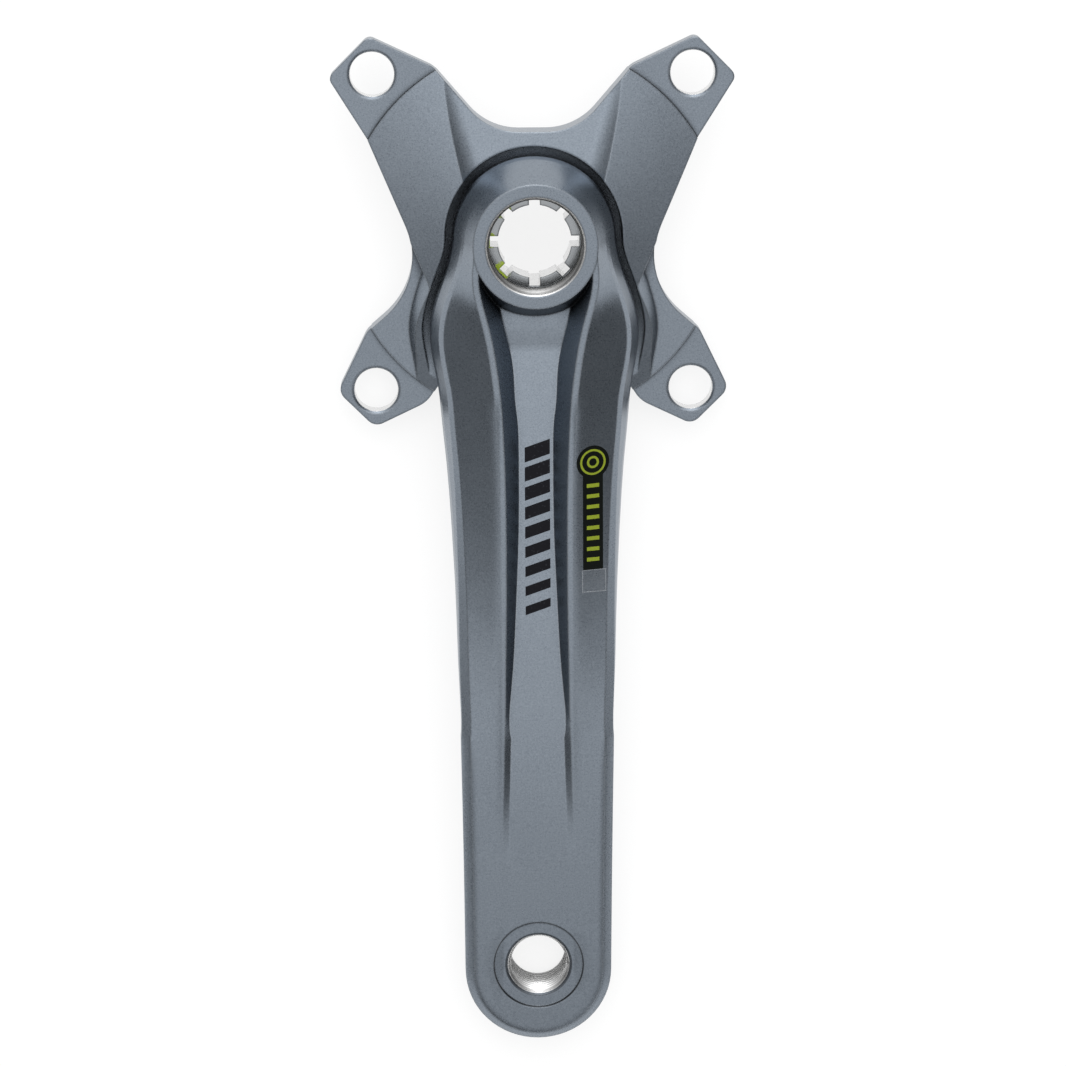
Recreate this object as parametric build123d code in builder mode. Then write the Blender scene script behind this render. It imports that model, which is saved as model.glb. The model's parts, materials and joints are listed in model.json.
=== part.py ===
from build123d import *
import os
from math import atan2, cos, degrees, exp, hypot, log, radians, sin, sqrt, tan

# Right-hand bicycle crank: a forged aluminium arm with a four-arm chainring spider pressed
# on behind its head. Millimetres. While it is modelled, the spindle axis is the Z axis with
# +Z outwards, away from the bicycle, the pedal lies on the -Y side, and Z = 0 is the middle
# of the spider's ring ears. The finished pieces are then tipped about X, so that the crank
# lies on its back as it comes to rest on a table.

os.makedirs("parts", exist_ok=True)

# Arm: lengths, widths and heights
crank_length = 170.0
head_radius = 19.2
hood_opening = 0.345
hood_start_round = 3.0
hood_flare = 12.4
hood_round = 0.67
waist_length = 44.0
eye_radius = 17.45
eye_overhang = 1.8
crest_height = 23.4
eye_face_height = 28.4
eye_thickness = 14.0
rear_rise_start = 26.0
rear_rise_length = 50.0

# Arm: panels, edges and sides of the section
bevel_width = 2.75
eye_bevel_width = 0.5
panel_drop = 5.6
crown = 0.03
panel_flat_start = 30.0
panel_flat_end = 125.0
parting_share = 0.42
eye_parting_share = 0.72
rear_edge_inset = 2.0
crest_width = 1.4
shoulder_bevel = 0.9
eye_shoulder_bevel = 1.9
side_round = 2.5
rear_bevel = 1.6
corner_share = 0.48

# Arm: channel down the front
channel_waist = 6.7
channel_mouth = 13.4
channel_mouth_at = 10.0
channel_mouth_length = 16.0
channel_widening = 1.7
channel_widening_at = 40.0
channel_widening_length = 100.0
channel_deepest_at = 21.0
run_out_start = 115.0
channel_end = 145.0
wall_width = 3.6
wall_least = 1.5
wall_slope = 52.0
wall_fade = 2.2
wall_run_out = 1.7

# Spindle socket
ring_radius = 14.2
ring_proud = 0.15
ring_draft = 27.0
ring_depth = 6.5
ring_foot_arc = 140.0
extractor_radius = 11.0
extractor_depth = 8.5
lobe_count = 8
lobe_tip_radius = 8.4
notch_radius = 10.2
notch_width = 2.5
spline_length = 9.0
spindle_radius = 11.0
spindle_clearance = 0.1
mouth_chamfer = 0.4
relief_width = 0.8
relief_depth = 0.25

# Pedal eye
pedal_thread_radius = 7.14
pedal_mouth_chamfer = 0.55
spot_face_radius = 10.53
spot_face_depth = 0.4

# Seat of the spider behind the head of the arm
seat_height = 4.0
seat_radius = 16.5
shoulder_radius = 18.2
shoulder_relief = 0.3
hub_rear = -6.0
boss_rear = -7.5
swage_width = 1.0
boss_root = 12.0

# Spider
bolt_circle = 104.0
ring_bolt_radius = 5.1
ring_bolt_chamfer = 0.5
ear_thickness = 4.4
ear_reach = 6.6
plate_thickness = 6.6
ring_seat_inset = 8.3
roof_slope = 13.3
gap = 1.3
skirt_foot = 3.1
skirt_draft = 38.0
web_margin = 3.2
hub_radius = 23.0
valley_floor = 6.2
valley_fall = 7.7
valley_spread = 17.6
valley_half_width = 12.1
valley_radius = 8.0
inner_bolt_circle = 64.0
inner_boss_radius = 5.8
inner_boss_rear = -9.0
inner_thread_radius = 4.0
inner_thread_depth = 9.5
rib_width = 8.0
size_tolerance = 0.01

# Outline of the spider: corners set off from the ear holes and the ear ends, with their radii
web_half_width = 10.0
web_round = 15.0
upper_neck_inset = 14.1
upper_neck_rise = 1.6
upper_neck_round = 5.0
upper_tip_inner = 3.9
upper_tip_outer = 5.4
upper_tip_round = 1.9
upper_heel_out = 1.1
upper_heel_drop = 15.1
upper_heel_round = 3.0
waist_half_width = 24.0
waist_drop = 10.2
waist_round = 19.0
lower_heel_out = 2.0
lower_heel_rise = 13.8
lower_heel_round = 4.0
lower_tip_outer = 4.3
lower_tip_inner = 4.2
lower_tip_round = 3.0
lower_neck_inset = 11.8
lower_neck_drop = 3.0
lower_neck_round = 7.0
hub_foot_half_width = 17.0
hub_foot = 27.5
hub_foot_round = 8.0
crease_foot = 24.0
crease_drop = 12.0


def ease(share):
    """Smooth step from 0 to 1."""
    share = min(max(share, 0.0), 1.0)
    return share * share * (3 - 2 * share)


def side(along):
    """Half width of the arm at its widest level, a distance along from the spindle."""
    opening = head_radius + hood_opening * (hypot(along, hood_start_round) - hood_start_round)
    closing = exp(-along / waist_length) - exp(-crank_length / waist_length)
    closing = eye_radius + hood_flare * closing
    return -hood_round * log(exp(-opening / hood_round) + exp(-closing / hood_round))


def crest(along):
    """Height of the front face, an S-curve from the spindle ring out to the pedal eye."""
    return crest_height + (eye_face_height - crest_height) * ease(along / crank_length)


def rear(along):
    """Height of the back face, level behind the head and then rising to the pedal eye."""
    level = seat_height + shoulder_relief
    run = max(along - rear_rise_start, 0.0)
    whole_run = crank_length - rear_rise_start
    rise = (1 - exp(-run / rear_rise_length)) / (1 - exp(-whole_run / rear_rise_length))
    return level + (eye_face_height - eye_thickness - level) * rise


def ridge(along):
    """Half width of the channel between its top edges."""
    mouth = (channel_mouth - channel_waist) * exp(-(along - channel_mouth_at) / channel_mouth_length)
    spread = max((along - channel_widening_at) / channel_widening_length, 0.0)
    return min(channel_waist + mouth, ring_radius - crest_width) + channel_widening * spread**2


def wall(along):
    """Width of the channel's sloping wall, seen from the front."""
    gone = (along - channel_deepest_at) / (channel_end - channel_deepest_at)
    gone = min(max(gone, 0.0), 1.0)
    return wall_width * (1 - gone**wall_fade) ** wall_run_out * ease(along / channel_mouth_at)


def softened(before, corner, after, size, facets):
    """The corners of a few flat facets that stand for one rounded corner."""
    corner = Vector(*corner)
    sides = [Vector(*point) - corner for point in (before, after)]
    start, end = [corner + way.normalized() * min(size, corner_share * way.length) for way in sides]
    shares = [i / facets for i in range(facets + 1)]
    points = [start * (1 - s) ** 2 + corner * (2 * s * (1 - s)) + end * s**2 for s in shares]
    return [(point.X, point.Y) for point in points]


def section_corners(along):
    """Corners of the right half of a section, from the channel floor round to the back."""
    top = crest(along)
    back = rear(along)
    half_width = side(along)
    ridge_x = ridge(along)
    floor_x = ridge_x - max(wall(along), wall_least)
    floor_z = top - max(wall(along) * tan(radians(wall_slope)), crown)
    level = ease((along - panel_flat_start) / (panel_flat_end - panel_flat_start))
    shoulder_z = top - max(panel_drop * (1 - level), crown)
    parting = parting_share + (eye_parting_share - parting_share) * level
    parting_z = back + parting * (shoulder_z - back)
    crest_edge = (ridge_x + crest_width, top)
    shoulder = (half_width - bevel_width - (eye_bevel_width - bevel_width) * level, shoulder_z)
    parting_edge = (half_width, parting_z)
    heel = (half_width - rear_edge_inset, back)
    shoulder_size = shoulder_bevel + (eye_shoulder_bevel - shoulder_bevel) * level
    return [
        (floor_x, floor_z),
        (ridge_x, top),
        crest_edge,
        *softened(crest_edge, shoulder, parting_edge, shoulder_size, facets=1),
        *softened(shoulder, parting_edge, heel, side_round, facets=2),
        *softened(parting_edge, heel, (0, back), rear_bevel, facets=1),
    ]


def half_section(along):
    """Draw the right half of a section, closed along the axis of the head or of the eye."""
    corners = section_corners(along)[2:]
    Polyline((0, corners[0][1]), *corners, (0, corners[-1][1]), close=True)


def head_outline(grow):
    """Draw the outline of the arm's head and hood seen from the front, grown all round."""
    steps = 7
    reach = bolt_circle / 2
    points = [(side(reach * i / steps) + grow, -reach * i / steps) for i in range(steps + 1)]
    right = Spline(*points, tangents=[(0, -1), (side(reach) - side(reach - 1), -1)])
    left = mirror(right, about=Plane.YZ)
    Line(right @ 1, left @ 1)
    ThreePointArc(right @ 0, (0, right.position_at(0).X), left @ 0)


def stations(start, end, count, first_spacing):
    """Distances along the arm, with the spaces between them growing from the first one."""
    shares = [i / (count - 1) for i in range(count)]
    return [start + (end - start) * s * (first_spacing + (1 - first_spacing) * s) for s in shares]


# Forged arm: sections lofted from the head to the end of the channel and on to the pedal eye,
# with the head and the eye turned round their own axes
arm_run = crank_length + eye_overhang
channel_stations = stations(0.0, run_out_start, count=13, first_spacing=0.4)
run_out_stations = stations(run_out_start, channel_end, count=6, first_spacing=1.0)
eye_stations = stations(channel_end, arm_run, count=4, first_spacing=1.0)

with BuildPart() as arm:
    for stretch in (channel_stations, run_out_stations, eye_stations):
        for along in stretch:
            right = section_corners(along)
            left = [(-x, z) for x, z in reversed(right)]
            with BuildSketch(Plane.XZ.offset(along)):
                with BuildLine():
                    Polyline(*right, *left, close=True)
                make_face()
        loft()
    with BuildSketch(Plane.XZ):
        with BuildLine():
            half_section(0.0)
        make_face()
    revolve(axis=Axis.Z, revolution_arc=180)
    with BuildSketch(Plane.XZ.offset(arm_run)):
        with BuildLine():
            half_section(arm_run)
        make_face()
    revolve(axis=Axis((0, -arm_run, 0), (0, 0, 1)), revolution_arc=-180)

    # Ring round the spindle, level with the ridges, with a sloping foot in the channel
    ring_height = crest_height + ring_proud
    ring_base = ring_height - ring_depth
    with BuildSketch(Plane.XY.offset(ring_base)):
        Circle(ring_radius)
    extrude(amount=ring_depth)
    with BuildSketch(Plane.XZ.rotated((0, 0, -90 - ring_foot_arc / 2))):
        with BuildLine():
            Polyline(
                (0, ring_base),
                (ring_radius + ring_depth * tan(radians(ring_draft)), ring_base),
                (ring_radius, ring_height),
                (0, ring_height),
                close=True,
            )
        make_face()
    revolve(axis=Axis.Z, revolution_arc=ring_foot_arc)

    # Boss behind the head, with the shoulder that stops the spider and the rim that is
    # spread over its back edge
    with BuildSketch(Plane.XZ):
        with BuildLine():
            Polyline(
                (0, boss_root),
                (shoulder_radius, boss_root),
                (shoulder_radius, seat_height),
                (seat_radius, seat_height),
                (seat_radius, hub_rear + swage_width),
                (seat_radius + swage_width, hub_rear),
                (seat_radius, boss_rear),
                (0, boss_rear),
                close=True,
            )
        make_face()
    revolve(axis=Axis.Z)

    # Spindle socket: faced ring and extractor thread in front, lobed spline, smooth bore behind
    spline_front = ring_height - extractor_depth
    spline_rear = spline_front - spline_length
    rear_bore = spindle_radius + spindle_clearance
    with BuildSketch(Plane.XZ):
        with BuildLine():
            Polyline(
                (0, ring_height + ring_depth),
                (ring_radius, ring_height + ring_depth),
                (ring_radius, ring_height),
                (extractor_radius + mouth_chamfer, ring_height),
                (extractor_radius, ring_height - mouth_chamfer),
                (extractor_radius, spline_front + relief_width),
                (extractor_radius + relief_depth, spline_front + relief_width),
                (extractor_radius + relief_depth, spline_front),
                (0, spline_front),
                close=True,
            )
        make_face()
        with BuildLine():
            Polyline(
                (0, boss_rear),
                (rear_bore + mouth_chamfer, boss_rear),
                (rear_bore, boss_rear + mouth_chamfer),
                (rear_bore, spline_rear),
                (0, spline_rear),
                close=True,
            )
        make_face()
    revolve(axis=Axis.Z, mode=Mode.SUBTRACT)
    with BuildSketch(Plane.XY.offset(spline_rear)):
        Circle(lobe_tip_radius)
        with PolarLocations(notch_radius / 2, lobe_count):
            Rectangle(notch_radius, notch_width)
    extrude(amount=spline_length, mode=Mode.SUBTRACT)

    # Pedal eye: threaded hole with a spot face in front and a chamfer at both mouths
    with BuildSketch(Plane.XZ.offset(crank_length)):
        with BuildLine():
            spot_z = eye_face_height - spot_face_depth
            back_z = eye_face_height - eye_thickness
            mouth = pedal_thread_radius + pedal_mouth_chamfer
            Polyline(
                (0, spot_z + eye_thickness),
                (spot_face_radius, spot_z + eye_thickness),
                (spot_face_radius, spot_z),
                (mouth, spot_z),
                (pedal_thread_radius, spot_z - pedal_mouth_chamfer),
                (pedal_thread_radius, back_z + pedal_mouth_chamfer),
                (mouth + pedal_mouth_chamfer, back_z - pedal_mouth_chamfer),
                (0, back_z - pedal_mouth_chamfer),
                close=True,
            )
        make_face()
    revolve(axis=Axis((0, -crank_length, 0), (0, 0, 1)), mode=Mode.SUBTRACT)

# Spider: outline of the right half, from the web between the upper arms down to the hub
ear_hole = bolt_circle / 2 / sqrt(2)
ear_edge = (bolt_circle / 2 + ear_reach) / sqrt(2)
web_edge = head_radius + gap + web_margin
half_outline = [
    (0.0, web_edge, 0.0),
    (web_half_width, web_edge, web_round),
    (ear_hole - upper_neck_inset, ear_hole + upper_neck_rise, upper_neck_round),
    (ear_edge - upper_tip_inner, ear_edge + upper_tip_inner, upper_tip_round),
    (ear_edge + upper_tip_outer, ear_edge - upper_tip_outer, upper_tip_round),
    (ear_hole + upper_heel_out, ear_hole - upper_heel_drop, upper_heel_round),
    (waist_half_width, -waist_drop, waist_round),
    (ear_hole + lower_heel_out, -(ear_hole - lower_heel_rise), lower_heel_round),
    (ear_edge + lower_tip_outer, -(ear_edge - lower_tip_outer), lower_tip_round),
    (ear_edge - lower_tip_inner, -(ear_edge + lower_tip_inner), lower_tip_round),
    (ear_hole - lower_neck_inset, -(ear_hole + lower_neck_drop), lower_neck_round),
    (hub_foot_half_width, -hub_foot, hub_foot_round),
    (0.0, -hub_foot, 0.0),
]

with BuildSketch() as spider_plan:
    with BuildLine():
        FilletPolyline(
            *[(x, y) for x, y, radius in half_outline],
            radius=[radius for x, y, radius in half_outline[1:-1]],
        )
        mirror(about=Plane.YZ)
    make_face()

ring_seat_radius = bolt_circle / 2 - ring_seat_inset
plate_front = plate_thickness / 2


def roof(radius):
    """Height of the spider's front, a cone that rises from the ring seat to the head."""
    return plate_front + (ring_seat_radius - radius) * tan(radians(roof_slope))


def valley_section(reach):
    """Draw the round-sided valley between the upper arms, a distance from the spindle."""
    floor = valley_floor - (reach - seat_radius) * tan(radians(valley_fall))
    half = valley_half_width + (reach - seat_radius) * tan(radians(valley_spread))
    top = floor + 2 * valley_radius
    rim = half + valley_radius
    bend = floor + valley_radius
    low = half + valley_radius * sin(radians(45))
    rise = bend - valley_radius * cos(radians(45))
    Polyline((-rim, bend), (-rim, top), (rim, top), (rim, bend))
    ThreePointArc((rim, bend), (low, rise), (half, floor))
    Line((half, floor), (-half, floor))
    ThreePointArc((-half, floor), (-low, rise), (-rim, bend))


with BuildPart() as spider_front:
    # Upper arms and web: the part of the plan above the straight lower edges of the arms
    with BuildSketch(Plane.XY):
        add(spider_plan.sketch)
        with BuildLine():
            outer = (ear_hole + upper_heel_out, ear_hole - upper_heel_drop)
            inner = (crease_foot, -crease_drop)
            slope = (outer[1] - inner[1]) / (outer[0] - inner[0])
            apex = (0.0, inner[1] - slope * inner[0])
            far = (bolt_circle, apex[1] + slope * bolt_circle)
            Polyline(apex, far, (-far[0], far[1]), close=True)
        make_face(mode=Mode.INTERSECT)
    extrude(amount=roof(0))
    # Skirt round the lower part of the head
    for level in (0.0, roof(0)):
        with BuildSketch(Plane.XY.offset(level)):
            with BuildLine():
                head_outline(gap + skirt_foot + (plate_front - level) * tan(radians(skirt_draft)))
            make_face()
    loft(ruled=True)
    # Cone of the front, kept inside the plan
    with BuildSketch(Plane.XZ):
        with BuildLine():
            Polyline(
                (0, 0),
                (ring_seat_radius, 0),
                (ring_seat_radius, plate_front),
                (0, roof(0)),
                close=True,
            )
        make_face()
    revolve(axis=Axis.Z, mode=Mode.INTERSECT)
    extrude(spider_plan.sketch, amount=roof(0), mode=Mode.INTERSECT)
    # Valley that leaves a ridge along the inner side of each upper arm
    for reach in (0.0, bolt_circle / 2):
        with BuildSketch(Plane.XZ.offset(-reach)):
            with BuildLine():
                valley_section(reach)
            make_face()
    loft(ruled=True, mode=Mode.SUBTRACT)

with BuildPart() as spider:
    with BuildSketch(Plane.XY.offset(-plate_front)):
        add(spider_plan.sketch)
    extrude(amount=plate_thickness)
    add(spider_front.part)
    # Back of the hub, with a rib out to each boss of the inner ring
    with BuildSketch(Plane.XY):
        Circle(hub_radius)
    extrude(amount=hub_rear)
    with BuildSketch(Plane.XY):
        with PolarLocations(inner_bolt_circle / 4, 4, start_angle=45):
            Rectangle(inner_bolt_circle / 2, rib_width)
    extrude(amount=hub_rear)
    with BuildSketch(Plane.XY):
        with PolarLocations(inner_bolt_circle / 2, 4, start_angle=45):
            Circle(inner_boss_radius)
    extrude(amount=inner_boss_rear)
    with BuildSketch(Plane.XY.offset(inner_boss_rear)):
        with PolarLocations(inner_bolt_circle / 2, 4, start_angle=45):
            Circle(inner_thread_radius)
    extrude(amount=inner_thread_depth, mode=Mode.SUBTRACT)
    # Pocket round the head of the arm, and the seat on the arm's boss
    with BuildSketch(Plane.XY.offset(seat_height)):
        with BuildLine():
            head_outline(gap)
        make_face()
    extrude(amount=roof(0), mode=Mode.SUBTRACT)
    with BuildSketch(Plane.XZ):
        with BuildLine():
            Polyline(
                (0, roof(0)),
                (seat_radius, roof(0)),
                (seat_radius, hub_rear + swage_width),
                (seat_radius + swage_width, hub_rear),
                (0, hub_rear),
                close=True,
            )
        make_face()
    revolve(axis=Axis.Z, mode=Mode.SUBTRACT)
    # Ring seats turned into both faces of the ears, then the ring bolt holes
    with BuildSketch(Plane.XZ):
        for level in (ear_thickness / 2, -ear_thickness / 2 - plate_thickness):
            with Locations((ring_seat_radius, level)):
                Rectangle(bolt_circle, plate_thickness, align=(Align.MIN, Align.MIN))
    revolve(axis=Axis.Z, mode=Mode.SUBTRACT)
    with BuildSketch(Plane.XY.offset(-plate_front)):
        with PolarLocations(bolt_circle / 2, 4, start_angle=45):
            Circle(ring_bolt_radius)
    extrude(amount=plate_thickness, mode=Mode.SUBTRACT)

    front_circles = spider.edges().filter_by(GeomType.CIRCLE).filter_by(lambda rim: rim.arc_center.Z > 0)
    hole_rims = front_circles.filter_by(lambda rim: abs(rim.radius - ring_bolt_radius) < size_tolerance)
    chamfer(hole_rims, length=ring_bolt_chamfer)

# Resting on its back: the two lower bosses of the inner ring and the back of the pedal eye
# touch the table
boss_edge = inner_bolt_circle / 2 / sqrt(2) + inner_boss_radius
eye_edge = arm_run + eye_radius - rear_edge_inset - rear_bevel
rest_tilt = degrees(atan2(eye_face_height - eye_thickness - inner_boss_rear, eye_edge - boss_edge))

with BuildPart() as crank_arm:
    add(arm.part, rotation=(rest_tilt, 0, 0))
crank_arm.part.label = "crank_arm"
export_step(crank_arm.part, "parts/crank_arm.step")

with BuildPart() as chainring_spider:
    add(spider.part, rotation=(rest_tilt, 0, 0))
chainring_spider.part.label = "chainring_spider"
export_step(chainring_spider.part, "parts/chainring_spider.step")
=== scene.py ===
import json
from math import atan2, cos, pi, radians, sin

import bmesh
import bpy
from mathutils import Matrix, Vector


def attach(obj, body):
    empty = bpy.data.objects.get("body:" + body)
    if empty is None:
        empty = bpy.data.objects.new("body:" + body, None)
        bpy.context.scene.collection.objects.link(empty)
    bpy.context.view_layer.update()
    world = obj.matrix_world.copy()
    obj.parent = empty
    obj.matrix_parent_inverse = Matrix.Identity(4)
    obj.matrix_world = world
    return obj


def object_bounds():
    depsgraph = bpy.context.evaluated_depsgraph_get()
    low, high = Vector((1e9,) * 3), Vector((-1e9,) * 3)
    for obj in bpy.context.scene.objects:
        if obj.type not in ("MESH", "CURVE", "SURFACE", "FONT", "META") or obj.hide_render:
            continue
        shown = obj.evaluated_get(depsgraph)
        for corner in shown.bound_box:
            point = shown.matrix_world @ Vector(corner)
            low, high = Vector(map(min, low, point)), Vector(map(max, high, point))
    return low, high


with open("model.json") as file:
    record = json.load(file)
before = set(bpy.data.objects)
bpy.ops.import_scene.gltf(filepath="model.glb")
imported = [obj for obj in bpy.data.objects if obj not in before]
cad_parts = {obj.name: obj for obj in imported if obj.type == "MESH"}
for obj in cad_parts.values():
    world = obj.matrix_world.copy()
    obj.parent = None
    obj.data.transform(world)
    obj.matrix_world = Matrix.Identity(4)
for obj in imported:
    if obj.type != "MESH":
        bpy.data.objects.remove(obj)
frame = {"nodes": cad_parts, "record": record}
cad_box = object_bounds()

# Crank arm: one aluminium forging with a channelled front, blasted and sprayed with a
# fine-grained grey metallic lacquer. The spindle socket, the pedal eye and the back of the
# boss are turned afterwards and stay bare.
spindle_mount = [mount for mount in frame["record"]["mounts"] if mount["name"] == "spindle_bore"][0]
crank_lean = atan2(spindle_mount["axis"][1], -spindle_mount["axis"][2])
crank_turn = Matrix.Rotation(crank_lean, 4, "X")
crank_length = 170.0


class Shade:
    """A socket of a material. Sums, products and powers of it add Math nodes."""

    def __init__(self, tree, socket=None):
        self.tree = tree
        self.socket = socket

    def node(self, kind, settings, sockets, out=0):
        made = self.tree.nodes.new(kind)
        for name, value in settings.items():
            setattr(made, name, value)
        for name, value in sockets.items():
            if isinstance(value, Shade):
                self.tree.links.new(value.socket, made.inputs[name])
            else:
                made.inputs[name].default_value = value
        return Shade(self.tree, made.outputs[out] if made.outputs else None)

    def out(self, index):
        return Shade(self.tree, self.socket.node.outputs[index])

    def math(self, operation, first, second=0.0):
        return self.node("ShaderNodeMath", {"operation": operation}, {0: first, 1: second})

    def __add__(self, other):
        return self.math("ADD", self, other)

    def __radd__(self, other):
        return self.math("ADD", other, self)

    def __sub__(self, other):
        return self.math("SUBTRACT", self, other)

    def __rsub__(self, other):
        return self.math("SUBTRACT", other, self)

    def __mul__(self, other):
        return self.math("MULTIPLY", self, other)

    def __rmul__(self, other):
        return self.math("MULTIPLY", other, self)

    def __truediv__(self, other):
        return self.math("DIVIDE", self, other)

    def __pow__(self, other):
        return self.math("POWER", self, other)

    def __abs__(self):
        return self.math("ABSOLUTE", self)

    def either(self, other):
        return self.math("MAXIMUM", self, other)

    def below(self, edge, blur=0.05):
        """1 where this is under an edge, fading to 0 over a blur."""
        low = edge - blur / 2
        return self.node("ShaderNodeMapRange", {}, {0: self, 1: low, 2: low + blur, 3: 1.0, 4: 0.0})

    def above(self, edge, blur=0.05):
        low = edge - blur / 2
        return self.node("ShaderNodeMapRange", {}, {0: self, 1: low, 2: low + blur, 3: 0.0, 4: 1.0})

    def tint(self, low, high):
        """A colour that goes from low to high with this mask."""
        return self.node("ShaderNodeMix", {"data_type": "RGBA"}, {0: self, 6: low, 7: high}, out=2)


def new_finish(name):
    """An empty material, with its place on the crank in millimetres from the spindle."""
    finish = bpy.data.materials.new(name)
    finish.use_nodes = True
    finish.node_tree.nodes.clear()
    start = Shade(finish.node_tree)
    place = start.node("ShaderNodeTexCoord", {}, {}).out(3)
    turn = {"Vector": place, "Rotation": (-crank_lean, 0, 0), "Scale": (1000, 1000, 1000)}
    return finish, start.node("ShaderNodeMapping", {"vector_type": "POINT"}, turn)


def finish_surface(place, sockets):
    """End a material in one shader."""
    shader = place.node("ShaderNodeBsdfPrincipled", {}, sockets)
    place.node("ShaderNodeOutputMaterial", {"target": "ALL"}, {"Surface": shader})


def noise(place, scale, detail=2.0):
    """Cloudy values between about 0.3 and 0.7, scale per millimetre."""
    settings = {"Vector": place, "Scale": scale, "Detail": detail, "Roughness": 0.6}
    return place.node("ShaderNodeTexNoise", {"noise_dimensions": "3D"}, settings)


def rounded(place, radius):
    """The normal of the surface with its edges rounded to a radius in millimetres."""
    return place.node("ShaderNodeBevel", {"samples": 4}, {"Radius": radius / 1000})


def lacquer(place, edges, normal, crevice_shade_share):
    """Colour, roughness and bumps of the grey metallic lacquer, worn thin along its edges, with
    painted shade near black in its crevices. A last argument of 0, as under a film, keeps the
    painted shade off."""
    flake = noise(place, 2.8)
    cloud = noise(place, 0.045)
    true_normal = place.node("ShaderNodeNewGeometry", {}, {}).out(1)
    ends = {0: edges, 1: true_normal}
    bend = place.node("ShaderNodeVectorMath", {"operation": "DOT_PRODUCT"}, ends, out=1)
    edge = bend.below(0.93, 0.12)
    reach = {"Distance": 0.004}
    open_share = place.node("ShaderNodeAmbientOcclusion", {"samples": 5}, reach, out=1)
    # Painted shade: where ambient occlusion finds little open around a point, the colour goes to
    # near black, as in the gap round the head.
    painted_crevice_shade = open_share.below(0.62, 0.34) * crevice_shade_share
    tone = (flake - 0.5) * 1.6 + (cloud - 0.5) * 0.3 + 0.5
    colour = tone.tint((0.165, 0.19, 0.224, 1), (0.302, 0.343, 0.392, 1))
    colour = (edge * (0.1 + flake * 0.5)).tint(colour, (0.46, 0.48, 0.5, 1))
    colour = painted_crevice_shade.tint(colour, (0.006, 0.0065, 0.0075, 1))
    roughness = 0.3 + (flake - 0.5) * 0.2 + (cloud - 0.5) * 0.1
    grain = noise(place, 2.4, 3.0)
    bump = {"Strength": 0.22, "Distance": 0.00004, "Height": grain, "Normal": normal}
    return colour, roughness, place.node("ShaderNodeBump", {}, bump)


def turned_metal(place, radius, up, dark, light):
    """Colour and roughness of bare aluminium, with the fine rings that a turning tool leaves."""
    lines = {"W": radius * 6.0 + up * 7.0, "Scale": 1.0}
    rings = place.node("ShaderNodeTexNoise", {"noise_dimensions": "1D"}, lines)
    stain = noise(place, 0.5)
    tone = (rings - 0.5) * 1.2 + (stain - 0.5) * 0.5 + 0.5
    colour = tone.tint((dark, dark, dark * 1.01, 1), (light, light, light * 0.99, 1))
    return colour, 0.24 + (rings - 0.5) * 0.2


arm = frame["nodes"]["crank_arm"]
arm_finish, place = new_finish("arm_grey_lacquer")
axes = place.node("ShaderNodeSeparateXYZ", {}, {"Vector": place})
across, along, up = axes, axes.out(1), axes.out(2)
from_spindle = (across * across + along * along) ** 0.5
from_pedal = (across * across + (along + crank_length) ** 2.0) ** 0.5

# The broad panels and the rim of the eye are shaded rounder than the other edges. The floor of
# the channel is shaded with an even slope in place of its mesh's own, matched to the
# photograph and steeper near the head than the solid is.
edge_round = 0.6
panel_round = 4.0
eye_round = 2.2
end_slope = 0.018
middle_slope = 0.092
slope_gain = 0.0006
slope_start = -148.0
slope_end = -104.0
front = up.above(15.0)
edges = rounded(place, edge_round)
panels = abs(across).above(8.4, 0.8) * abs(across).below(13.0, 1.5) * along.below(-36.0, 6.0)
softened = {0: panels * front, 4: edges, 5: rounded(place, panel_round)}
normal = place.node("ShaderNodeMix", {"data_type": "VECTOR"}, softened, out=1)
from_middle = abs(across).either(from_pedal * along.below(-crank_length))
eye_rim = along.below(-118.0, 10.0) * from_middle.above(13.0, 1.0)
softened = {0: eye_rim * front, 4: normal, 5: rounded(place, eye_round)}
normal = place.node("ShaderNodeMix", {"data_type": "VECTOR"}, softened, out=1)
true_normal = place.node("ShaderNodeNewGeometry", {}, {}).out(1)
facing = place.node("ShaderNodeSeparateXYZ", {}, {"Vector": true_normal})
climb = {0: along, 1: slope_start, 2: slope_end, 3: end_slope, 4: middle_slope}
floor_rise = place.node("ShaderNodeMapRange", {"interpolation_type": "SMOOTHSTEP"}, climb)
floor_rise = floor_rise + (along - slope_end).either(0.0) * slope_gain
turned_y = floor_rise * cos(crank_lean) - sin(crank_lean)
turned_z = floor_rise * sin(crank_lean) + cos(crank_lean)
floor_normal = place.node("ShaderNodeCombineXYZ", {}, {1: turned_y, 2: turned_z})
channel_floor = abs(facing).below(0.25, 0.1) * abs(across).below(6.6, 0.4)
channel_floor = channel_floor * along.below(-24.0, 2.0) * along.above(slope_start, 4.0)
smoothed = {0: channel_floor * front, 4: normal, 5: floor_normal}
normal = place.node("ShaderNodeMix", {"data_type": "VECTOR"}, smoothed, out=1)
carrier_middle = (13.2, -77.6)
under_film = abs(across - carrier_middle[0]).below(3.2)
under_film = under_film * abs(along - carrier_middle[1]).below(3.0)
# The painted crevice shade is kept off the place under the label's carrier film.
colour, roughness, bumps = lacquer(place, edges, normal, 1 - under_film)
spot_radius = 10.53
lead_in_radius = 7.5
eye_front = up.above(27.0)
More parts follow.
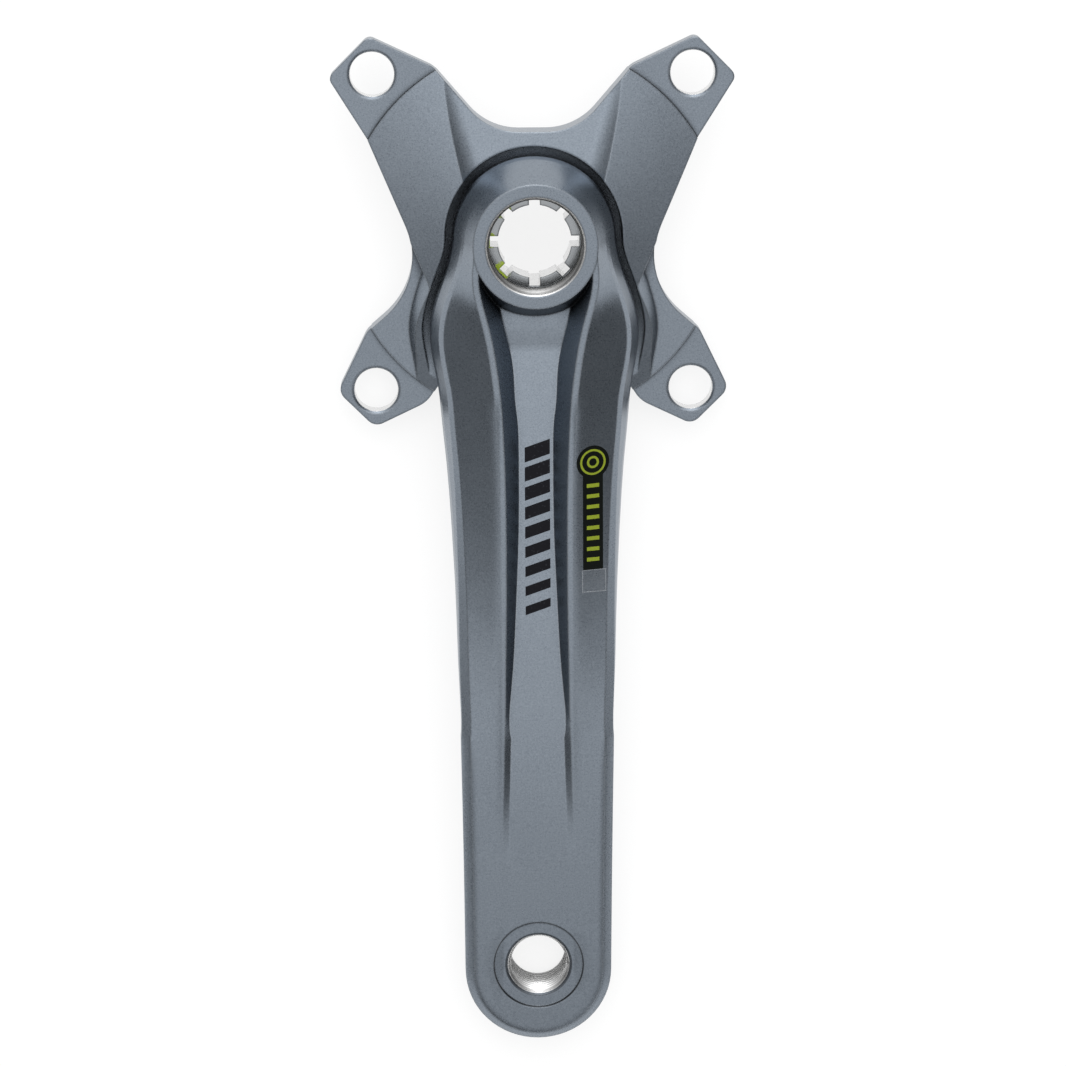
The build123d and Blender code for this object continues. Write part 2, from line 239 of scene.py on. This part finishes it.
# Painted shade: dark rings on the edge of the pedal eye's spot face and on its lead-in chamfer.
spot_edge_shade = abs(from_pedal - spot_radius).below(0.16, 0.1) * eye_front
lead_in_shade = abs(from_pedal - lead_in_radius).below(0.4, 0.1) * eye_front
colour = (spot_edge_shade * 0.75).either(lead_in_shade * 0.6).tint(colour, (0.02, 0.022, 0.025, 1))
nearest_axis = across.math("MINIMUM", from_spindle, from_pedal)
bare_colour, bare_roughness = turned_metal(place, nearest_axis, up, 0.66, 0.95)
boss_back = up.below(-5.4) * from_spindle.below(18.2)
bare = from_spindle.below(11.3).either(from_pedal.below(7.3)).either(boss_back)
lobe_fronts = up.above(14.95) * from_spindle.below(10.9)
bare_colour = lobe_fronts.tint(bare_colour, (0.34, 0.355, 0.37, 1))
colour = bare.tint(colour, bare_colour)
roughness = roughness * (1 - bare) + bare_roughness * bare

# Printed mark on the floor of the channel: dark ink under the clear coat, a row of slanted
# bars that thin out towards the pedal.
print_start = -46.0
print_length = 41.6
print_half_width = 2.9
print_middle = 0.3
bar_count = 9
bar_slant = 0.35
beside = across - print_middle
run = (print_start - along + beside * bar_slant) / print_length
share = across.math("FRACT", run * bar_count)
bar = across.math("LESS_THAN", share, 0.78 - run * 0.36)
inside = run.above(0.0, 0.002) * run.below(1.0, 0.002) * abs(beside).below(print_half_width)
ink = bar * inside * up.above(10.0)
ink_wear = noise(place, 1.6).above(0.33, 0.1)
ink = ink * (0.88 + ink_wear * 0.12)
colour = ink.tint(colour, (0.016, 0.016, 0.019, 1))
roughness = roughness * (1 - ink) + ink * 0.45

# Traces of lime thread compound left in three notches of the spindle socket: ragged spots of
# colour on the socket and on its thread, not metallic.
trace_places = [(-10.6, 0.4, 15.2), (-7.6, 7.4, 15.2), (-7.4, -6.7, 15.0)]
trace_size = 2.0
trace_lime = (0.27, 0.36, 0.025, 1)


def lime_trace(place):
    """Mask of the ragged spots of thread compound."""
    blot = noise(place, 0.9, 3.0)
    trace = 0.0
    for spot in trace_places:
        ends = {0: place, 1: spot}
        gap = place.node("ShaderNodeVectorMath", {"operation": "DISTANCE"}, ends, out=1)
        trace = (gap + (blot - 0.5) * 2.4).below(trace_size, 0.3) + trace
    return trace


trace = lime_trace(place)
colour = trace.tint(colour, trace_lime)
sockets = {"Base Color": colour, "Roughness": roughness, "Metallic": 1 - trace, "Normal": bumps}
finish_surface(place, sockets)
arm.data.materials.clear()
arm.data.materials.append(arm_finish)

# Chainring spider: a second aluminium forging with four ears, in the same lacquer, pressed on
# the boss behind the head. Its ring holes, inner bosses and their threads are machined bare.
outer_hole = 104.0 / 2 * 0.5**0.5
inner_hole = 64.0 / 2 * 0.5**0.5
spider = frame["nodes"]["chainring_spider"]
spider_finish, place = new_finish("spider_grey_lacquer")
axes = place.node("ShaderNodeSeparateXYZ", {}, {"Vector": place})
across, along, up = abs(axes), abs(axes.out(1)), axes.out(2)
from_outer = ((across - outer_hole) ** 2.0 + (along - outer_hole) ** 2.0) ** 0.5
from_inner = ((across - inner_hole) ** 2.0 + (along - inner_hole) ** 2.0) ** 0.5
edges = rounded(place, 0.6)
colour, roughness, bumps = lacquer(place, edges, edges, 1.0)
bare_colour, bare_roughness = turned_metal(place, from_outer, up, 0.62, 0.93)
boss_face = up.below(-8.9, 0.1) * from_inner.below(5.6)
bare = (from_outer.below(5.2)).either(from_inner.below(4.1) * up.below(1.0)).either(boss_face)
colour = bare.tint(colour, bare_colour)
roughness = roughness * (1 - bare) + bare_roughness * bare
sockets = {"Base Color": colour, "Roughness": roughness, "Metallic": 1.0, "Normal": bumps}
finish_surface(place, sockets)
spider.data.materials.clear()
spider.data.materials.append(spider_finish)

# Cut threads: right-hand turns in bare aluminium inside the spindle mouth for the extractor,
# inside the pedal eye, and in the four blind holes of the inner ring bosses.
def thread_metal(place, root, dark, light):
    """Colour and roughness of a cut thread, bright on the crests, with painted shade in the roots.
    """
    up = place.node("ShaderNodeSeparateXYZ", {}, {"Vector": place}).out(2)
    colour, roughness = turned_metal(place, up, up, dark, light)
    return (root * 0.5).tint(colour, (0.04, 0.04, 0.042, 1)), roughness


pedal_finish, place = new_finish("bare_pedal_thread")
axes = place.node("ShaderNodeSeparateXYZ", {}, {"Vector": place})
from_axis = (axes * axes + (axes.out(1) + crank_length) ** 2.0) ** 0.5
bare_colour, bare_roughness = thread_metal(place, from_axis.above(6.73, 0.12), 0.85, 1.0)
finish_surface(place, {"Base Color": bare_colour, "Roughness": bare_roughness, "Metallic": 1.0})

bolt_finish, place = new_finish("bare_bolt_thread")
axes = place.node("ShaderNodeSeparateXYZ", {}, {"Vector": place})
across, along = abs(axes) - inner_hole, abs(axes.out(1)) - inner_hole
from_axis = (across * across + along * along) ** 0.5
bare_colour, bare_roughness = thread_metal(place, from_axis.above(3.72, 0.16), 0.7, 0.93)
finish_surface(place, {"Base Color": bare_colour, "Roughness": bare_roughness, "Metallic": 1.0})

# The extractor thread is coloured darker than the other bare threads.
dark_extractor_finish, place = new_finish("dark_extractor_thread")
axes = place.node("ShaderNodeSeparateXYZ", {}, {"Vector": place})
from_axis = (axes * axes + axes.out(1) * axes.out(1)) ** 0.5
extractor_colour, extractor_roughness = thread_metal(place, from_axis.above(10.58, 0.1), 0.3, 0.6)
trace = lime_trace(place)
extractor_colour = trace.tint(extractor_colour, trace_lime)
sockets = {"Base Color": extractor_colour, "Roughness": extractor_roughness, "Metallic": 1 - trace}
finish_surface(place, sockets)


def cut_thread(name, radius, depth, pitch, turns, start, finish):
    """A helical ridge with a diamond section, half of it sunk in the wall of the bore."""
    bpy.ops.object.select_all(action="DESELECT")
    bpy.ops.mesh.primitive_circle_add(vertices=4, radius=0.001, rotation=(pi / 2, 0, 0))
    ridge = bpy.context.object
    ridge.name = name
    ridge.data.name = name
    ridge.scale = (depth, pitch / 2, 1)
    ridge.location = (radius / 1000, 0, 0)
    bpy.ops.object.transform_apply(location=True, rotation=True, scale=True)
    bpy.ops.object.modifier_add(type="SCREW")
    screw = ridge.modifiers[-1]
    screw.axis = "Z"
    screw.screw_offset = pitch / 1000
    screw.iterations = turns
    screw.steps = 56
    screw.render_steps = 56
    screw.use_smooth_shade = False
    bpy.ops.object.modifier_apply(modifier=screw.name)
    bpy.ops.object.mode_set(mode="EDIT")
    bpy.ops.mesh.select_all(action="SELECT")
    bpy.ops.mesh.remove_doubles(threshold=1e-7)
    bpy.ops.mesh.fill_holes(sides=4)
    bpy.ops.mesh.select_all(action="SELECT")
    bpy.ops.mesh.normals_make_consistent(inside=False)
    bpy.ops.object.mode_set(mode="OBJECT")
    bpy.ops.object.shade_smooth_by_angle(angle=radians(30))
    ridge.matrix_world = crank_turn @ Matrix.Translation(Vector(start) / 1000)
    bpy.ops.object.transform_apply(location=True, rotation=True, scale=True)
    ridge.data.materials.append(finish)
    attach(ridge, "root")


cut_thread("extractor_thread", 11.0, 0.5, 1.0, 6, (0, 0, 16.5), dark_extractor_finish)
eye_seat = (0, -crank_length, 15.6)
cut_thread("pedal_thread", 7.14, 0.62, 1.27, 9, eye_seat, pedal_finish)
for number, (side, end) in enumerate([(1, 1), (-1, 1), (-1, -1), (1, -1)]):
    seat = (side * inner_hole, end * inner_hole, -8.1)
    name = "ring_bolt_thread_%d" % (number + 1)
    cut_thread(name, 4.0, 0.6, 1.25, 6, seat, bolt_finish)

# Label: a thin printed film stuck on the right-hand panel, black with lime shapes, with the
# loose end of its clear carrier film below it.
label_middle = (13.0, -50.0)
label_radius = 3.8
tail_half_width = 2.4
tail_end = -75.0
film_thickness = 0.05


def stick_on(film, finish):
    """Lay a flat film on the arm's front and give it its thickness."""
    film.matrix_world = crank_turn @ Matrix.Translation((0, 0, 0.04))
    bpy.ops.object.modifier_add(type="SHRINKWRAP")
    wrap = film.modifiers[-1]
    wrap.target = arm
    wrap.wrap_method = "PROJECT"
    wrap.use_project_z = True
    wrap.use_negative_direction = True
    wrap.use_positive_direction = False
    wrap.offset = 0.00002
    bpy.ops.object.modifier_apply(modifier=wrap.name)
    bpy.ops.object.modifier_add(type="SOLIDIFY")
    solid = film.modifiers[-1]
    solid.thickness = film_thickness / 1000
    solid.offset = 1.0
    bpy.ops.object.modifier_apply(modifier=solid.name)
    bpy.ops.object.transform_apply(location=True, rotation=True, scale=True)
    bpy.ops.object.shade_smooth_by_angle(angle=radians(30))
    film.data.materials.append(finish)
    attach(film, "root")


bpy.ops.object.select_all(action="DESELECT")
bpy.ops.mesh.primitive_circle_add(vertices=48, radius=label_radius / 1000, fill_type="TRIFAN")
label = bpy.context.object
label.name = "panel_label"
label.data.name = "panel_label"
label.location = (label_middle[0] / 1000, label_middle[1] / 1000, 0)
bpy.ops.object.transform_apply(location=True)
bpy.ops.object.mode_set(mode="EDIT")
bpy.ops.mesh.select_all(action="DESELECT")
grid = bmesh.from_edit_mesh(label.data)
for vertex in grid.verts:
    beside = abs(vertex.co.x * 1000 - label_middle[0]) < tail_half_width
    vertex.select = beside and vertex.co.y * 1000 < label_middle[1] - label_radius / 2
grid.select_flush(True)
bmesh.update_edit_mesh(label.data)
bpy.ops.mesh.extrude_edges_move()
bpy.ops.transform.resize(value=(1, 0, 1))
grid = bmesh.from_edit_mesh(label.data)
level = max(vertex.co.y for vertex in grid.verts if vertex.select)
bpy.ops.transform.translate(value=(0, tail_end / 1000 - level, 0))
bpy.ops.mesh.select_all(action="SELECT")
bpy.ops.mesh.subdivide(number_cuts=3)
bpy.ops.object.mode_set(mode="OBJECT")
label_finish, place = new_finish("label_film")
axes = place.node("ShaderNodeSeparateXYZ", {}, {"Vector": place})
across, along = axes - label_middle[0], axes.out(1) - label_middle[1]
from_middle = (across * across + along * along) ** 0.5
outer_ring_radius = 2.75
inner_ring_radius = 1.15
tail_start = 5.0
rung_spacing = 2.45
rung_half_width = 1.45
rungs_length = 19.2
outer_ring = abs(from_middle - outer_ring_radius).below(0.24)
inner_ring = abs(from_middle - inner_ring_radius).below(0.26)
tail = along * -1.0 - tail_start
rungs = across.math("LESS_THAN", across.math("FRACT", tail / rung_spacing), 0.36)
rungs = rungs * abs(across).below(rung_half_width) * tail.above(0.0) * tail.below(rungs_length)
lime = outer_ring.either(inner_ring).either(rungs)
speck = noise(place, 2.0)
label_colour = (lime * (0.85 + speck * 0.3)).tint((0.003, 0.004, 0.003, 1), (0.19, 0.235, 0.02, 1))
label_roughness = 0.4 + (speck - 0.5) * 0.2
label_gloss = {"Roughness": label_roughness, "Specular IOR Level": 0.12}
finish_surface(place, {"Base Color": label_colour, **label_gloss})
stick_on(label, label_finish)

bpy.ops.object.select_all(action="DESELECT")
bpy.ops.mesh.primitive_grid_add(x_subdivisions=6, y_subdivisions=6, size=0.001)
carrier = bpy.context.object
carrier.name = "label_carrier_film"
carrier.data.name = "label_carrier_film"
carrier_width = 5.6
carrier_length = 5.2
carrier.scale = (carrier_width, carrier_length, 1)
carrier.location = (carrier_middle[0] / 1000, carrier_middle[1] / 1000, 0)
bpy.ops.object.transform_apply(location=True, rotation=True, scale=True)
carrier_finish, place = new_finish("clear_film")
axes = place.node("ShaderNodeSeparateXYZ", {}, {"Vector": place})
beside = abs(axes - carrier_middle[0]) / (carrier_width / 2)
below = abs(axes.out(1) - carrier_middle[1]) / (carrier_length / 2)
film_edge = beside.either(below).above(0.95, 0.06)
haze = noise(place, 0.7)
film_colour = haze.tint((0.3, 0.32, 0.34, 1), (0.5, 0.52, 0.55, 1))
film_alpha = haze * 0.05 + film_edge * 0.3
sockets = {"Base Color": film_colour, "Roughness": 0.15 + haze * 0.1, "Alpha": film_alpha}
finish_surface(place, sockets)
stick_on(carrier, carrier_finish)

# Floor: a plain white table top under the resting crank, white to the eye and in reflections,
# with the soft shadow of the crank on it.
bpy.ops.object.select_all(action="DESELECT")
bpy.ops.mesh.primitive_plane_add(size=12, location=(0, 0, cad_box[0].z - 0.0001))
floor = bpy.context.object
floor.name = "floor"
floor_finish = bpy.data.materials.new("white_table")
floor_finish.use_nodes = True
floor_finish.node_tree.nodes.clear()
start = Shade(floor_finish.node_tree)
path = start.node("ShaderNodeLightPath", {}, {})
seen = path.either(path.out(3)).either(path.out(6))
matt = start.node("ShaderNodeBsdfDiffuse", {}, {"Color": (0.9, 0.9, 0.9, 1)})
white = start.node("ShaderNodeEmission", {}, {"Color": (1, 1, 1, 1), "Strength": 1.0})
both = start.node("ShaderNodeMixShader", {}, {0: seen * 0.8, 1: matt, 2: white})
start.node("ShaderNodeOutputMaterial", {"target": "ALL"}, {"Surface": both})
floor.data.materials.append(floor_finish)

# Light: a white ceiling that falls off to both sides and a white horizon, as in a small
# photographer's tent, and a soft lamp overhead.
world = bpy.data.worlds.new("studio")
bpy.context.scene.world = world
world.use_nodes = True
world.node_tree.nodes.clear()
start = Shade(world.node_tree)
aim = start.node("ShaderNodeTexCoord", {}, {})
aim = start.node("ShaderNodeSeparateXYZ", {}, {"Vector": aim})
height = aim.out(2)
side_fall = 2.4
overhead_level = 2.15
far_gain = 2.0
right_loss = 0.2
spread = (aim * aim + 0.02) ** 0.5
ceiling = aim.math("EXPONENT", spread * -side_fall)
ceiling = ceiling * (overhead_level + aim.out(1) * far_gain) * (1 - aim * right_loss)
horizon = height.below(0.07, 0.1)
brightness = ceiling * (1 - horizon) + horizon
sky = start.node("ShaderNodeBackground", {}, {"Color": brightness, "Strength": 1.0})
start.node("ShaderNodeOutputWorld", {"target": "ALL"}, {"Surface": sky})

bpy.ops.object.light_add(type="AREA", location=(0.1, 0.1, 1.2))
lamp = bpy.context.object
lamp.data.size = 1.5
lamp.data.energy = 12.0
lamp.visible_glossy = False

# Camera: above the lying crank, at the photograph's angle and distance, which were fitted to
# the ring holes, the spindle ring and the pedal eye.
bpy.ops.object.camera_add()
camera = bpy.context.object
focal_pixels = 3496.5
photo_width = 1066
camera.data.sensor_width = 36
camera.data.lens = focal_pixels / photo_width * camera.data.sensor_width
camera.data.clip_start = 0.01
camera.data.clip_end = 100
view_turn = Vector((radians(13.78), radians(1.54), radians(0.4)))
view_shift = Matrix.Translation((-0.00005, 0.07003, -0.81121))
view = view_shift @ Matrix.Rotation(view_turn.length, 4, view_turn)
camera.matrix_world = crank_turn @ view.inverted()
bpy.context.scene.camera = camera
bpy.context.scene.view_settings.view_transform = "Standard"

bpy.context.view_layer.update()
